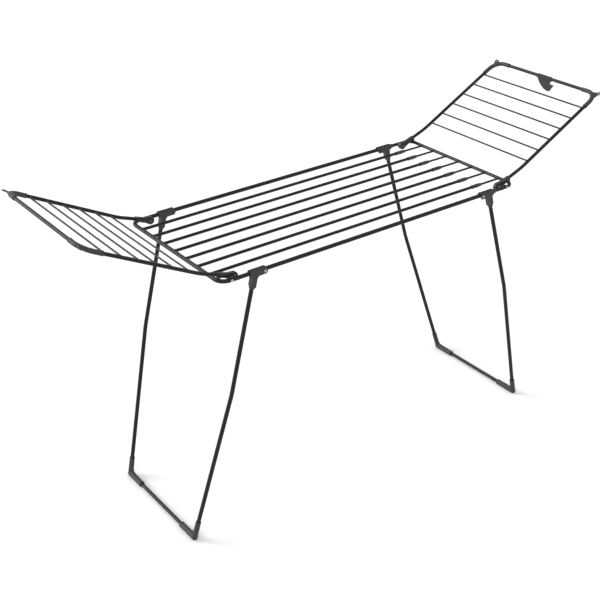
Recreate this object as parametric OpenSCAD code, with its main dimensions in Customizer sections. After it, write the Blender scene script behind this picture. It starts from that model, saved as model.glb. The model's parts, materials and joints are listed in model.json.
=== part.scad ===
// Winged, extendable folding clothes airer.
// Millimetres. X runs along the airer, Y across it and Z up; the origin is on the floor under its middle.
// "right" is the +X end, which carries the sliding frame, and "front" is the -Y side.

/* [Frame] */
// Distance between the axes of the two long rails
frame_w = 555; // [480:5:680]
// Distance between the axes of the two end crossbars, with the sliding frame pushed in
frame_l = 1202; // [1060:2:1450]
// Height of the rails' axes above the floor
top_h = 940; // [790:5:1135]
// Bend radius of the frame corners, on the tube's axis
corner_r = 33; // [24:1:40]
// Outside diameter of the rails
rail_d = 13.5; // [12:0.1:16.5]
// Wall of the rails and of the tubes that slide in them
rail_wall = 0.7; // [0.6:0.05:1]
// Number of hanging tubes between the rails
tube_count = 7; // [5:1:7]
// Spacing of the hanging tubes
tube_pitch = 68.5; // [52:0.5:72]
// Outside diameter of the hanging tubes
tube_d = 10.5; // [9.5:0.1:12.6]
// Wall of the hanging tubes
tube_wall = 0.75; // [0.6:0.05:1]
// Diameter of the rods that slide in the hanging tubes
rod_d = 7.5; // [6:0.1:7.8]
// How far the sliding frame pulls out
slide_travel = 600; // [300:10:600]
// Length of the sliding frame's side tubes that stays in the rails when it is pulled right out
slide_overlap = 60; // [50:5:120]

/* [Guides] */
// Distance from the right crossbar's axis back to the ends of the hanging tubes
guide_back = 108; // [95:1:130]
// Length of a guide collar
collar_l = 42; // [34:1:50]
// Outside diameter of a guide collar
collar_d = 14; // [13:0.1:16.8]
// Depth of a collar over its tube
collar_grip = 22; // [16:1:26]
// Length of the end collar on a rail
rail_collar_l = 12; // [10:1:16]
// Radial clearance of everything that slides or turns
run_gap = 0.05; // [0.02:0.01:0.1]

/* [Wings] */
// Distance between the axes of a wing's two side tubes
wing_w = 512; // [440:2:640]
// Distance from a crossbar's axis back to its wing's hinge axis
hinge_back = 58; // [52:1:75]
// Length of the wing tube from hinge axis to bend
stub_l = 120; // [100:1:150]
// Slope of the stub above the horizontal, in degrees
stub_a = 20; // [18:0.5:23]
// Slope of the wing above the horizontal, in degrees
wing_a = 27.74; // [26:0.01:32]
// Length from the bend to the end bar's axis
wing_l = 408.5; // [335:0.5:500]
// Bend radius between stub and wing
bend_r = 300; // [200:10:400]
// Diameter of the wing tubes and the end bar
wing_d = 12; // [10:0.1:14.4]
// Wall of the wing tubes
wing_wall = 0.7; // [0.6:0.05:1]
// Diameter of the wing rods
wing_rod_d = 6; // [5:0.1:7.2]
// Number of rods on a wing
wing_rods = 6; // [4:1:6]
// Spacing of the wing rods
wing_pitch = 58.8; // [45:0.1:62]
// Distance from the end bar to the first rod
wing_gap = 78.3; // [72:0.1:90]
// Bend radius of the corner elbows
elbow_r = 45; // [38:1:50]
// Length of an elbow along each tube, from the corner
elbow_l = 70; // [62:1:84]
// Wall of the wing elbows
elbow_wall = 2.2; // [1.8:0.1:3]
// Depth of the tubes in the elbows
elbow_grip = 20; // [14:1:22]
// Radius of the hole in a corner loop
loop_hole_r = 4.2; // [3:0.1:5]
// Width of the ring round that hole
loop_rim = 3.6; // [2.5:0.1:4.4]
// Thickness of a corner loop
loop_t = 4; // [3:0.1:6]

/* [Hinges] */
// Radius of a hinge knuckle's eye
eye_r = 13.5; // [11:0.1:16]
// Width of a hinge knuckle along its pin
knuckle_w = 14; // [12:0.1:17]
// Length of a knuckle's arm from the hinge axis
knuckle_l = 62; // [60:1:75]
// Radius of the hinge and leg rivets
rivet_r = 2.5; // [2:0.1:3]
// Radius of the rivet heads
head_r = 4.5; // [4:0.1:5.4]
// Distance between a hinge's two rivets
rivet_pitch = 22; // [18:1:24]

/* [Legs] */
// Distance from the middle of the airer to where the legs' axes cross the rails
leg_x = 480; // [400:1:576]
// How far inward of that the leg pivot is
pivot_in = 31.5; // [28:0.5:38]
// How far below the rail's axis the leg pivot is
pivot_drop = 2; // [0:0.5:3]
// Outward splay of the legs from the vertical, in degrees
splay = 15.11; // [12:0.01:18]
// Diameter of the leg tubes
leg_d = 14; // [12:0.1:16.8]
// Wall of the legs
leg_wall = 0.8; // [0.6:0.05:1.2]
// Height of the kink in the legs
kink_h = 543; // [440:1:650]
// Bend radius of the kink
kink_r = 200; // [120:10:300]
// Distance between the leg tubes' axes at the floor
foot_w = 444; // [370:2:530]
// Diameter of the foot bars
foot_bar_d = 13; // [11:0.1:15.6]
// Radius of the foot elbows round the foot bar
foot_r = 10.5; // [9.5:0.1:12]
// Height of the foot bars' axes above the floor
foot_h = 10; // [9.2:0.1:11.6]
// Length of a foot elbow along the foot bar
foot_l = 95; // [75:1:115]
// Length of a foot elbow up the leg
foot_up = 62; // [50:1:75]

/* [Leg brackets] */
// Length of a rail saddle
saddle_l = 60; // [50:1:66]
// Wall of a rail saddle beside the rail
saddle_wall = 1.4; // [1.2:0.1:2]
// Thickness of a bracket's cheeks
cheek_t = 2.2; // [1.8:0.1:3]
// Radius of a bracket's lobe round its pivot
lobe_r = 10.5; // [9:0.1:12]
// Width of the leg socket across the leg
socket_w = 23; // [20:0.5:27.5]
// Length of the leg socket below the rail
socket_l = 54; // [44:1:65]
// Gap between pieces that turn past each other
side_gap = 0.3; // [0.2:0.05:0.5]

/* [Transport clip] */
// Length of the clip's saddle along the end bar
clip_l = 70; // [60:1:84]
// Distance of the saddle's middle behind the end bar's middle
clip_y = 3; // [-30:1:30]
// Wall of the clip's saddle
clip_wall = 2; // [1.6:0.1:3]
// How far the clip's fin reaches below the bar's axis
fin_l = 49; // [42:1:58]
// Thickness of the fin
fin_t = 4; // [3:0.1:5]

/* [Hidden] */
$fn = 48;
SIDES = ["front", "back"];

PAINT = "#2a2c2e";   // satin anthracite paint on every tube
PLASTIC = "#3d4042"; // matte dark grey plastic
STEEL = "#b9bcbf";   // bare rivets
LEFT = -1;
RIGHT = 1;
FRONT = -1;
BACK = 1;

cut = 1; // how far a cutting shape runs past a face
seam = 0.5; // how far a straight runs into a bend
thin = 0.02; // how much thinner a bend is, in radius
cross_x = frame_l / 2;                      // crossbar axes
hinge_x = cross_x - hinge_back;             // wing hinge axes
rail_r = rail_d / 2;
rail_bore_r = rail_r - rail_wall;
slide_r = rail_bore_r - run_gap;            // sliding frame tube
tube_end_x = cross_x - guide_back;          // right ends of the hanging tubes
rail_end_x = leg_x - pivot_in + saddle_l;   // right ends of the rails, just past the right saddles
slide_in_x = rail_end_x - slide_travel - slide_overlap; // inner ends of the sliding frame's side tubes
rod_in_x = tube_end_x - slide_travel - slide_overlap;   // inner ends of the sliding rods
tube_bore_r = tube_d / 2 - tube_wall;
bead_l = 12;
glide_l = 5;
glide_plug_l = 14;
glide_wall = 1.5;

// wing, seen in the X-Z plane from its hinge axis
bend_x = stub_l * cos(stub_a);
bend_z = stub_l * sin(stub_a);
bar_x = bend_x + wing_l * cos(wing_a);
bar_z = bend_z + wing_l * sin(wing_a);
bend_cut = bend_r * tan((wing_a - stub_a) / 2); // straight length that the bend takes
stub_in = 24;                               // distance from hinge axis to the tube's end in the knuckle
wing_r = wing_d / 2;
elbow_out_r = wing_r + elbow_wall;
loop_out = 3;                               // loop centre beyond the corner of the tube axes
knuckle_out = wing_w / 2 + knuckle_w / 2;   // outer face of a knuckle, from the airer's middle

// legs, along the splayed leg from the rail's axis
leg_r = leg_d / 2;
drop = top_h - foot_h;
foot_s = drop / cos(splay);
foot_x = leg_x + drop * tan(splay);
kink_s = (top_h - kink_h) / cos(splay);
kink_a = atan((frame_w - foot_w) / 2 / (foot_s - kink_s));
kink_cut = kink_r * tan(kink_a / 2);
leg_top_s = 14;                             // top end of a leg tube, in its socket
lower_s = (foot_s - kink_s) / cos(kink_a);  // from kink to foot corner, along the tube
pivot_x = leg_x - pivot_in;
saddle_half = rail_r + saddle_wall;         // half the width of a saddle
saddle_top = rail_r + 1.8;
saddle_bottom = rail_r + 0.8;
cheek_in = saddle_half + side_gap;
cheek_out = cheek_in + cheek_t;
foot_grip = 40;                             // depth of the foot bar and legs in the foot elbows
foot_wall = 2.5;

function tube_y(i) = (i - (tube_count + 1) / 2) * tube_pitch;

// ---------- shared shapes ----------

// A round bar that starts at the origin along +X and stays in the X-Y plane.
// Each step is [length, turn to the left in degrees, bend radius]. Straights meet a right-angled bend
// end to end; they run a little way into any other bend, which is a hair thinner, so that all is one solid.
module bar_path(r, steps, i = 0) {
    length = steps[i][0];
    turn = steps[i][1];
    bend = steps[i][2];
    more = i + 1 < len(steps);
    x_cylinder(r, -run_in(steps, i - 1), length + run_in(steps, i));
    if (more) translate([length, 0, 0]) {
        round_r = run_in(steps, i) > 0 ? r - thin : r;
        if (turn > 0) bar_bend(round_r, turn, bend);
        else mirror([0, 1, 0]) bar_bend(round_r, -turn, bend);
        translate([bend * sin(abs(turn)), sign(turn) * bend * (1 - cos(turn)), 0])
            rotate([0, 0, turn]) bar_path(r, steps, i + 1);
    }
}

// How far the straights before and after bend i run into it
function run_in(steps, i) = i < 0 || i + 1 >= len(steps) || abs(steps[i][1]) == 90 ? 0 : seam;

module bar_bend(r, turn, bend) {
    translate([0, bend, 0]) rotate([0, 0, -90])
        rotate_extrude(angle = turn) translate([bend, 0]) circle(r = r);
}

// The same path as a tube, open at both ends
module tube_path(d, wall, steps) {
    last = len(steps) - 1;
    inner = [for (i = [0:last]) [steps[i][0] + (i == 0 ? cut : 0) + (i == last ? cut : 0),
                                 steps[i][1], steps[i][2]]];
    difference() {
        bar_path(d / 2, steps);
        translate([-cut, 0, 0]) bar_path(d / 2 - wall, inner);
    }
}

module y_cylinder(r, y0, y1) {
    translate([0, max(y0, y1), 0]) rotate([90, 0, 0]) cylinder(r = r, h = abs(y1 - y0));
}

module x_cylinder(r, x0, x1) {
    translate([min(x0, x1), 0, 0]) rotate([0, 90, 0]) cylinder(r = r, h = abs(x1 - x0));
}

// Draws its children for one end and one side of the airer
module at_end(end) {
    if (end == LEFT) mirror([1, 0, 0]) children();
    else children();
}

module at_side(side) {
    if (side == FRONT) mirror([0, 1, 0]) children();
    else children();
}

// ---------- outer frame ----------

// The outer frame's U as a solid bar of radius r
function u_steps(long) = [[long, -90, corner_r], [frame_w - 2 * corner_r, -90, corner_r], [long, 0, 0]];

// Holes for the leg and hinge rivets in the outer sides of the rails
module leg_rivet_holes() {
    for (end = [LEFT, RIGHT], side = [FRONT, BACK])
        at_end(end) at_side(side) translate([pivot_x, frame_w / 2, top_h - pivot_drop])
            y_cylinder(rivet_r, -rail_r - cut, rail_r + cut);
}

module hinge_rivet_holes(end) {
    for (side = [FRONT, BACK], x = [hinge_x, hinge_x + rivet_pitch])
        at_end(end) at_side(side) translate([x, frame_w / 2, top_h])
            y_cylinder(rivet_r, -rail_r - cut, rail_r + cut);
}

module outer_frame_tube() {
    color(PAINT) difference() {
        translate([rail_end_x, -frame_w / 2, top_h]) rotate([0, 0, 180])
            tube_path(rail_d, rail_wall, u_steps(rail_end_x + cross_x - corner_r));
        leg_rivet_holes();
        hinge_rivet_holes(LEFT);
    }
}

// A hanging tube, coped to the left crossbar
module hanging_tube(i) {
    color(PAINT) translate([0, tube_y(i), top_h]) difference() {
        x_cylinder(tube_d / 2, -cross_x, tube_end_x);
        x_cylinder(tube_bore_r, -cross_x - cut, tube_end_x + cut);
        translate([-cross_x, 0, 0]) y_cylinder(rail_r, -tube_d, tube_d);
    }
}

// Stepped plastic collar that ends a tube and guides what slides in it
module collar(r, tube_r, guide_r, length, grip, taper) {
    difference() {
        union() {
            cylinder(r = r, h = length - taper);
            translate([0, 0, length - taper]) cylinder(r1 = r, r2 = (r + guide_r) / 2, h = taper);
        }
        translate([0, 0, -cut]) cylinder(r = tube_r, h = grip + cut);
        cylinder(r = guide_r, h = length + cut);
    }
}

module guide_collars() {
    taper = collar_l / 3;
    color(PLASTIC) for (i = [1:tube_count])
        translate([tube_end_x - collar_grip, tube_y(i), top_h]) rotate([0, 90, 0])
            collar(collar_d / 2, tube_d / 2, rod_d / 2 + run_gap, collar_l, collar_grip, taper);
}

module rail_collar(side) {
    grip = rail_collar_l / 2;
    color(PLASTIC) at_side(side) translate([rail_end_x - grip, frame_w / 2, top_h]) rotate([0, 90, 0])
        collar(saddle_half, rail_r, slide_r + run_gap, rail_collar_l, grip, rail_collar_l / 3);
}

// Ribbed clip that hugs the rail from above; the leg bracket turns on it
module saddle(end, side) {
    rib_w = 1.3;
    rib_h = 0.9;
    mouth = 0.76 * rail_d;
    start_x = pivot_x - saddle_l / 8;
    color(PLASTIC) at_end(end) at_side(side) translate([start_x, frame_w / 2, top_h])
        rotate([90, 0, 90]) difference() {
            linear_extrude(saddle_l) difference() {
                union() {
                    translate([-saddle_half, -saddle_bottom])
                        square([2 * saddle_half, saddle_bottom + saddle_top]);
                    for (k = [-1.5:1:1.5])
                        translate([k * saddle_half / 2 - rib_w / 2, saddle_top]) square([rib_w, rib_h]);
                }
                circle(r = rail_r);
                translate([-mouth / 2, -saddle_bottom - cut]) square([mouth, saddle_bottom + cut]);
            }
            translate([0, -pivot_drop, pivot_x - start_x]) rotate([0, 90, 0])
                cylinder(r = rivet_r, h = 3 * saddle_half, center = true);
        }
}

// Short rivets through cheek, saddle and rail wall; they stop short of the tube that slides inside
module leg_pivot_rivets() {
    head_t = 1.8;
    tip = rail_bore_r + 0.1;
    color(STEEL) for (end = [LEFT, RIGHT], side = [FRONT, BACK], face = [-1, 1])
        at_end(end) at_side(side) translate([pivot_x, frame_w / 2, top_h - pivot_drop]) {
            y_cylinder(rivet_r, face * tip, face * (cheek_out + side_gap));
            y_cylinder(head_r, face * (cheek_out + side_gap), face * (cheek_out + side_gap + head_t));
        }
}

// ---------- wing hinges ----------

// Plastic spacer between a frame tube of radius r and the knuckle
module hinge_boss(end, side, r) {
    end_r = eye_r / 2;
    inner_y = knuckle_out + side_gap;
    outer_y = frame_w / 2 - r / 3;
    color(PLASTIC) at_end(end) at_side(side) translate([hinge_x, 0, top_h]) difference() {
        union() {
            y_cylinder(eye_r - 4, inner_y, outer_y);
            translate([rivet_pitch, 0, 0]) y_cylinder(end_r, inner_y, outer_y);
            translate([0, inner_y, -end_r]) cube([rivet_pitch, outer_y - inner_y, 2 * end_r]);
        }
        for (x = [0, rivet_pitch]) translate([x, 0, 0]) y_cylinder(rivet_r, inner_y - cut, outer_y + cut);
        translate([-rivet_pitch, frame_w / 2, 0]) x_cylinder(r, 0, 3 * rivet_pitch);
        at_corner(r);
    }
}

// The corner of a frame tube, in place for a shape drawn from the hinge axis
module at_corner(r) {
    translate([hinge_back - corner_r, frame_w / 2, 0])
        bar_path(r, [[0.01, -90, corner_r], [frame_w / 4, 0, 0]]);
}

// Hinge pins with both heads, and the short second rivets
module hinge_rivets(end, r) {
    head_t = 1.8;
    inner_y = knuckle_out - knuckle_w - side_gap;
    boss_y = knuckle_out + side_gap;
    outer_y = frame_w / 2 + r;
    color(STEEL) for (side = [FRONT, BACK]) at_end(end) at_side(side) translate([hinge_x, 0, top_h]) {
        y_cylinder(rivet_r, inner_y, outer_y);
        y_cylinder(head_r, outer_y, outer_y + head_t);
        y_cylinder(head_r + 0.5, inner_y - head_t, inner_y);
        translate([rivet_pitch, 0, 0]) {
            y_cylinder(rivet_r, boss_y, outer_y);
            y_cylinder(head_r, outer_y, outer_y + head_t);
        }
    }
}

// ---------- sliding frame ----------

module slide_frame_tube() {
    long = cross_x - corner_r - slide_in_x;
    color(PAINT) difference() {
        mirror([1, 0, 0]) translate([-slide_in_x, -frame_w / 2, top_h]) rotate([0, 0, 180])
            tube_path(2 * slide_r, rail_wall, u_steps(long));
        hinge_rivet_holes(RIGHT);
    }
}

module slide_rods() {
    color(PAINT) for (i = [1:tube_count]) translate([0, tube_y(i), top_h]) difference() {
        x_cylinder(rod_d / 2, rod_in_x, cross_x);
        translate([cross_x, 0, 0]) y_cylinder(slide_r, -rod_d, rod_d);
    }
}

// Nylon beads on the hidden ends of the rods, which keep them from rattling and pulling out
module rod_beads() {
    color(PLASTIC) for (i = [1:tube_count]) translate([0, tube_y(i), top_h]) difference() {
        x_cylinder(tube_bore_r - run_gap, rod_in_x - 2, rod_in_x + bead_l);
        x_cylinder(rod_d / 2, rod_in_x, rod_in_x + bead_l + cut);
    }
}

// Plugs in the hidden ends of the sliding frame's side tubes
module slide_glides() {
    bore_r = slide_r - rail_wall;
    color(PLASTIC) for (side = [FRONT, BACK]) at_side(side) translate([slide_in_x, frame_w / 2, top_h])
        difference() {
            union() {
                x_cylinder(slide_r, -glide_l, 0);
                x_cylinder(bore_r, 0, glide_plug_l);
            }
            x_cylinder(bore_r - glide_wall, -glide_l - cut, glide_plug_l + cut);
        }
}

// ---------- wings ----------

// Draws in a wing's X-Z plane, from the hinge axis, for things that lie along the stub
module on_stub(side) {
    at_side(side) translate([hinge_x, wing_w / 2, top_h]) rotate([90, 0, 0]) rotate([0, 0, stub_a]) children();
}

// Draws in the plane of the wing, from the middle of its end bar, with +X outward
module in_wing() {
    translate([hinge_x + bar_x, 0, top_h + bar_z]) rotate([0, -wing_a, 0]) children();
}

module wing_tube(end, side) {
    color(PAINT) at_end(end) on_stub(side) translate([stub_in, 0, 0])
        tube_path(wing_d, wing_wall, [
            [stub_l - stub_in - bend_cut, wing_a - stub_a, bend_r],
            [wing_l - bend_cut - elbow_l + elbow_grip, 0, 0],
        ]);
}

module wing_end_bar(end) {
    half = wing_w / 2 - elbow_l + elbow_grip;
    color(PAINT) at_end(end) in_wing() difference() {
        y_cylinder(wing_r, -half, half);
        y_cylinder(wing_r - wing_wall, -half - cut, half + cut);
    }
}

// Rods, coped to the side tubes
module wing_rods(end) {
    color(PAINT) at_end(end) in_wing() difference() {
        for (k = [0:wing_rods - 1]) translate([-wing_gap - k * wing_pitch, 0, 0])
            y_cylinder(wing_rod_d / 2, -wing_w / 2, wing_w / 2);
        for (side = [FRONT, BACK]) translate([0, side * wing_w / 2, 0])
            x_cylinder(wing_r, -wing_l, 0);
    }
}

// Curved corner elbow with a hanger loop on its outside
module wing_elbow(end, side) {
    straight = elbow_l - elbow_r;
    loop_r = loop_hole_r + loop_rim;
    web_l = elbow_r * (sqrt(2) - 1);
    color(PLASTIC) at_end(end) in_wing() at_side(side) difference() {
        union() {
            translate([-elbow_l, wing_w / 2, 0])
                bar_path(elbow_out_r, [[straight, -90, elbow_r], [straight, 0, 0]]);
            translate([loop_out, wing_w / 2 + loop_out, -loop_t / 2]) linear_extrude(loop_t) {
                circle(r = loop_r);
                rotate(-135) polygon([
                    [0, 0.8 * loop_r], [0.7 * web_l, 0.7 * web_l], [web_l, web_l],
                    [web_l, -web_l], [0.7 * web_l, -0.7 * web_l], [0, -0.8 * loop_r],
                ]);
            }
        }
        translate([-elbow_l - cut, wing_w / 2, 0]) x_cylinder(wing_r, 0, elbow_grip + cut);
        translate([0, wing_w / 2 - elbow_l, 0]) y_cylinder(wing_r, -cut, elbow_grip);
        translate([loop_out, wing_w / 2 + loop_out, -loop_t]) cylinder(r = loop_hole_r, h = 2 * loop_t);
    }
}

// Hinge knuckle: an eye, and an arm round the stub whose foot rests on the crossbar of tube radius r
module wing_knuckle(end, side, r) {
    tip = wing_r + 1.4;
    rest = hinge_back * sin(stub_a);      // the crossbar's axis below the stub's axis
    foot = rest - 0.85 * r;               // how deep the arm's foot reaches
    foot_x = hinge_back * cos(stub_a);
    color(PLASTIC) at_end(end) difference() {
        on_stub(side) difference() {
            translate([0, 0, -knuckle_w / 2]) union() {
                cylinder(r = eye_r, h = knuckle_w);
                linear_extrude(knuckle_w) polygon([
                    [0, -eye_r], [foot_x / 2, -tip - 0.6], [foot_x - 9, -tip - 0.6], [foot_x - 4, -foot],
                    [foot_x + 1, -foot], [knuckle_l, -tip], [knuckle_l, tip], [foot_x / 2, tip], [0, eye_r],
                ]);
            }
            translate([0, 0, -knuckle_w]) cylinder(r = rivet_r + run_gap, h = 2 * knuckle_w);
            x_cylinder(wing_r, stub_in, knuckle_l + cut);
        }
        at_side(side) translate([hinge_x, 0, top_h]) at_corner(r + side_gap);
    }
}

// ---------- transport clip ----------

// Snap saddle on the right end bar, with a fin that hooks under a hanging tube when all is folded
module lock_clip() {
    r = wing_r + clip_wall;
    hook_z = 15.5;                 // middle of the hook's mouth below the bar
    hook_r = tube_d / 2 + 0.3;
    front = clip_y - clip_l / 2;
    back = clip_y + clip_l / 2;
    color(PLASTIC) translate([hinge_x + bar_x, 0, top_h + bar_z]) difference() {
        union() {
            y_cylinder(r, front, back);
            translate([fin_t / 2, 0, 0]) rotate([0, -90, 0]) linear_extrude(fin_t) polygon([
                [0, front + 8], [-hook_z, front - 8], [-hook_z - 6, front - 14], [-fin_l * 0.68, front - 5],
                [-fin_l * 0.9, front + 2], [-fin_l, front + 10], [-fin_l * 0.96, front + 24],
                [-fin_l * 0.82, front + 40], [-fin_l * 0.55, front + 56], [0, back - 2],
            ]);
        }
        y_cylinder(wing_r + run_gap, front - cut, back + cut);
        rotate([0, -35, 0]) translate([-r, front - cut, wing_r * 0.6]) cube([2 * r, clip_l + 2 * cut, r]);
        translate([-fin_t, front, -hook_z]) x_cylinder(hook_r, 0, 2 * fin_t);
        translate([-fin_t, front - 20, -hook_z - hook_r]) cube([2 * fin_t, 20, 2 * hook_r]);
    }
}

// ---------- legs ----------

// Draws along a splayed leg, from where its axis crosses the rail's axis: +X runs down the leg
module on_leg(side) {
    at_side(side) translate([leg_x, frame_w / 2, top_h]) rotate([0, 90 - splay, 0]) children();
}

module leg_tube(end, side) {
    color(PAINT) at_end(end) on_leg(side) translate([leg_top_s, 0, 0])
        tube_path(leg_d, leg_wall, [
            [kink_s - leg_top_s - kink_cut, -kink_a, kink_r],
            [lower_s - kink_cut - foot_up + foot_grip, 0, 0],
        ]);
}

// Forked bracket: two cheeks beside the saddle and a socket under the rail
module leg_bracket(end, side) {
    top_z = saddle_top - 1;
    block_z = -saddle_bottom - side_gap;         // the socket's top stops against the saddle
    lean = tan(splay);
    half = socket_w / 2;
    socket_r = leg_r + foot_wall;
    low_z = block_z - 14;                        // bottom of the bridge
    inner_top = leg_x - half + 1;
    outer_top = pivot_x - saddle_l / 8 + saddle_l - 1.5;
    shoulder = leg_x + half + 1.5;               // where the bridge ends, short of the cheeks
    color(PLASTIC) at_end(end) at_side(side) translate([0, frame_w / 2, top_h]) difference() {
        union() {
            // cheeks
            for (y = [-cheek_out, cheek_in]) translate([0, y + cheek_t, 0]) rotate([90, 0, 0])
                linear_extrude(cheek_t) {
                    translate([pivot_x, -pivot_drop]) circle(r = lobe_r);
                    polygon([
                        [pivot_x, -pivot_drop + lobe_r], [pivot_x, top_z], [outer_top, top_z],
                        [outer_top, block_z], [shoulder, block_z - 1],
                        [leg_x + half - low_z * lean, low_z],
                        [leg_x - half - low_z * lean, low_z],
                        [pivot_x + lobe_r * 0.35, -pivot_drop - lobe_r * 0.93],
                    ]);
                }
            // bridge between the cheeks
            translate([0, cheek_out, 0]) rotate([90, 0, 0]) linear_extrude(2 * cheek_out) polygon([
                [inner_top, block_z], [shoulder, block_z],
                [leg_x + half - low_z * lean, low_z], [leg_x - half - low_z * lean, low_z],
            ]);
            // socket, round on its two narrow sides
            translate([leg_x, 0, 0]) rotate([0, 90 - splay, 0]) {
                for (z = [-1, 1]) translate([0, 0, z * (half - socket_r)])
                    x_cylinder(socket_r, leg_top_s, socket_l);
                translate([leg_top_s, -socket_r, socket_r - half])
                    cube([socket_l - leg_top_s, 2 * socket_r, 2 * (half - socket_r)]);
            }
        }
        translate([leg_x, 0, 0]) rotate([0, 90 - splay, 0]) x_cylinder(leg_r, leg_top_s, 2 * socket_l);
        translate([pivot_x, 0, -pivot_drop]) y_cylinder(rivet_r + run_gap, -2 * cheek_out, 2 * cheek_out);
    }
}

module foot_bar(end) {
    half = foot_w / 2 - foot_l + foot_grip;
    color(PAINT) at_end(end) translate([foot_x, 0, foot_h]) difference() {
        y_cylinder(foot_bar_d / 2, -half, half);
        y_cylinder(foot_bar_d / 2 - leg_wall, -half - cut, half + cut);
    }
}

// L-shaped foot with two sleeves and a web between them, flat underneath
module foot_elbow(end, side) {
    up_r = leg_r + foot_wall;
    web_t = 8;
    color(PLASTIC) at_end(end) difference() {
        union() {
            at_side(side) translate([foot_x, foot_w / 2, foot_h]) {
                sphere(r = foot_r);
                y_cylinder(foot_r, -foot_l + foot_r, 0);
            }
            on_leg(side) translate([foot_s, (foot_w - frame_w) / 2, 0]) {
                rotate([0, 0, 180 - kink_a]) x_cylinder(up_r, 0, foot_up);
                translate([0, 0, -web_t / 2]) linear_extrude(web_t) polygon([
                    [0, 0], [-foot_up * 0.5, foot_up * 0.5 * tan(kink_a)], [-up_r - 4, -up_r - 4],
                    [-foot_r * 0.8, -foot_l * 0.45], [0, -foot_l * 0.45],
                ]);
            }
        }
        on_leg(side) translate([foot_s, (foot_w - frame_w) / 2, 0]) rotate([0, 0, 180 - kink_a])
            x_cylinder(leg_r, foot_up - foot_grip, foot_up + cut);
        at_side(side) translate([foot_x, foot_w / 2 - foot_l + foot_grip, foot_h])
            y_cylinder(foot_bar_d / 2, -foot_grip - cut, 0);
        at_side(side) translate([foot_x - 2 * foot_l, 0, -4 * foot_r])
            cube([4 * foot_l, foot_w, 4 * foot_r]);
    }
}

// ---------- what is drawn ----------

outer_frame_tube();
for (i = [1:tube_count]) hanging_tube(i);
guide_collars();
rail_collar(FRONT);  // rail_collar_front
rail_collar(BACK);  // rail_collar_back
saddle(LEFT, FRONT);  // saddle_left_front
saddle(LEFT, BACK);  // saddle_left_back
saddle(RIGHT, FRONT);  // saddle_right_front
saddle(RIGHT, BACK);  // saddle_right_back
leg_pivot_rivets();
hinge_boss(LEFT, FRONT, rail_r);  // left_hinge_boss_front
hinge_boss(LEFT, BACK, rail_r);  // left_hinge_boss_back
hinge_rivets(LEFT, rail_r);  // left_hinge_rivets
slide_frame_tube();
slide_rods();
rod_beads();
slide_glides();
hinge_boss(RIGHT, FRONT, slide_r);  // right_hinge_boss_front
hinge_boss(RIGHT, BACK, slide_r);  // right_hinge_boss_back
hinge_rivets(RIGHT, slide_r);  // right_hinge_rivets
wing_tube(LEFT, FRONT);  // left_wing_tube_front
wing_tube(LEFT, BACK);  // left_wing_tube_back
wing_end_bar(LEFT);  // left_wing_end_bar
wing_rods(LEFT);  // left_wing_rods
wing_elbow(LEFT, FRONT);  // left_wing_elbow_front
wing_elbow(LEFT, BACK);  // left_wing_elbow_back
wing_knuckle(LEFT, FRONT, rail_r);  // left_wing_knuckle_front
wing_knuckle(LEFT, BACK, rail_r);  // left_wing_knuckle_back
wing_tube(RIGHT, FRONT);  // right_wing_tube_front
wing_tube(RIGHT, BACK);  // right_wing_tube_back
wing_end_bar(RIGHT);  // right_wing_end_bar
wing_rods(RIGHT);  // right_wing_rods
wing_elbow(RIGHT, FRONT);  // right_wing_elbow_front
wing_elbow(RIGHT, BACK);  // right_wing_elbow_back
wing_knuckle(RIGHT, FRONT, slide_r);  // right_wing_knuckle_front
wing_knuckle(RIGHT, BACK, slide_r);  // right_wing_knuckle_back
lock_clip();
leg_tube(LEFT, FRONT);  // left_leg_tube_front
leg_tube(LEFT, BACK);  // left_leg_tube_back
leg_bracket(LEFT, FRONT);  // left_leg_bracket_front
leg_bracket(LEFT, BACK);  // left_leg_bracket_back
foot_bar(LEFT);  // left_foot_bar
foot_elbow(LEFT, FRONT);  // left_foot_elbow_front
foot_elbow(LEFT, BACK);  // left_foot_elbow_back
leg_tube(RIGHT, FRONT);  // right_leg_tube_front
leg_tube(RIGHT, BACK);  // right_leg_tube_back
leg_bracket(RIGHT, FRONT);  // right_leg_bracket_front
leg_bracket(RIGHT, BACK);  // right_leg_bracket_back
foot_bar(RIGHT);  // right_foot_bar
foot_elbow(RIGHT, FRONT);  // right_foot_elbow_front
foot_elbow(RIGHT, BACK);  // right_foot_elbow_back
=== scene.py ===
import json
import math

import bmesh
import bpy
from mathutils import Matrix, Vector


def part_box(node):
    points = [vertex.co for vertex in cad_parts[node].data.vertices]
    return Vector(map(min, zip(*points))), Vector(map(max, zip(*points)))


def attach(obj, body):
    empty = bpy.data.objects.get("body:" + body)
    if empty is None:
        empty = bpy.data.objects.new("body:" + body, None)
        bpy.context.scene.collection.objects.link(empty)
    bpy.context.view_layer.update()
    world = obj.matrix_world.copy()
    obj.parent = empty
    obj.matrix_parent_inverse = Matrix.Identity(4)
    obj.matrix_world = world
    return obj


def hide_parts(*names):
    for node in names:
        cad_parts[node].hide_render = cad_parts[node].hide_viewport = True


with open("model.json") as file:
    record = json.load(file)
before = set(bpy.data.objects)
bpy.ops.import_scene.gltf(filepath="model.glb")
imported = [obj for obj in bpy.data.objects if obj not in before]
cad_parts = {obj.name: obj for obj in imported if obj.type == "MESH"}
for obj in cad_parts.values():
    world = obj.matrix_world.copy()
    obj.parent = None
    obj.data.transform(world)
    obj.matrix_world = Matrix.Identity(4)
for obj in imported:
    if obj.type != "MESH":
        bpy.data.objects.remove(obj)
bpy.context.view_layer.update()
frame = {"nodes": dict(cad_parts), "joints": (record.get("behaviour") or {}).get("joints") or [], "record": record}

MM = 0.001
SIDES = {"front": -1, "back": 1}
ENDS = {"left": -1, "right": 1}
ROUND = 3                  # facets in a rounded edge
RING = 32                  # points round a turned shape
TURNS = [2 * math.pi * k / RING for k in range(RING)]
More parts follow.
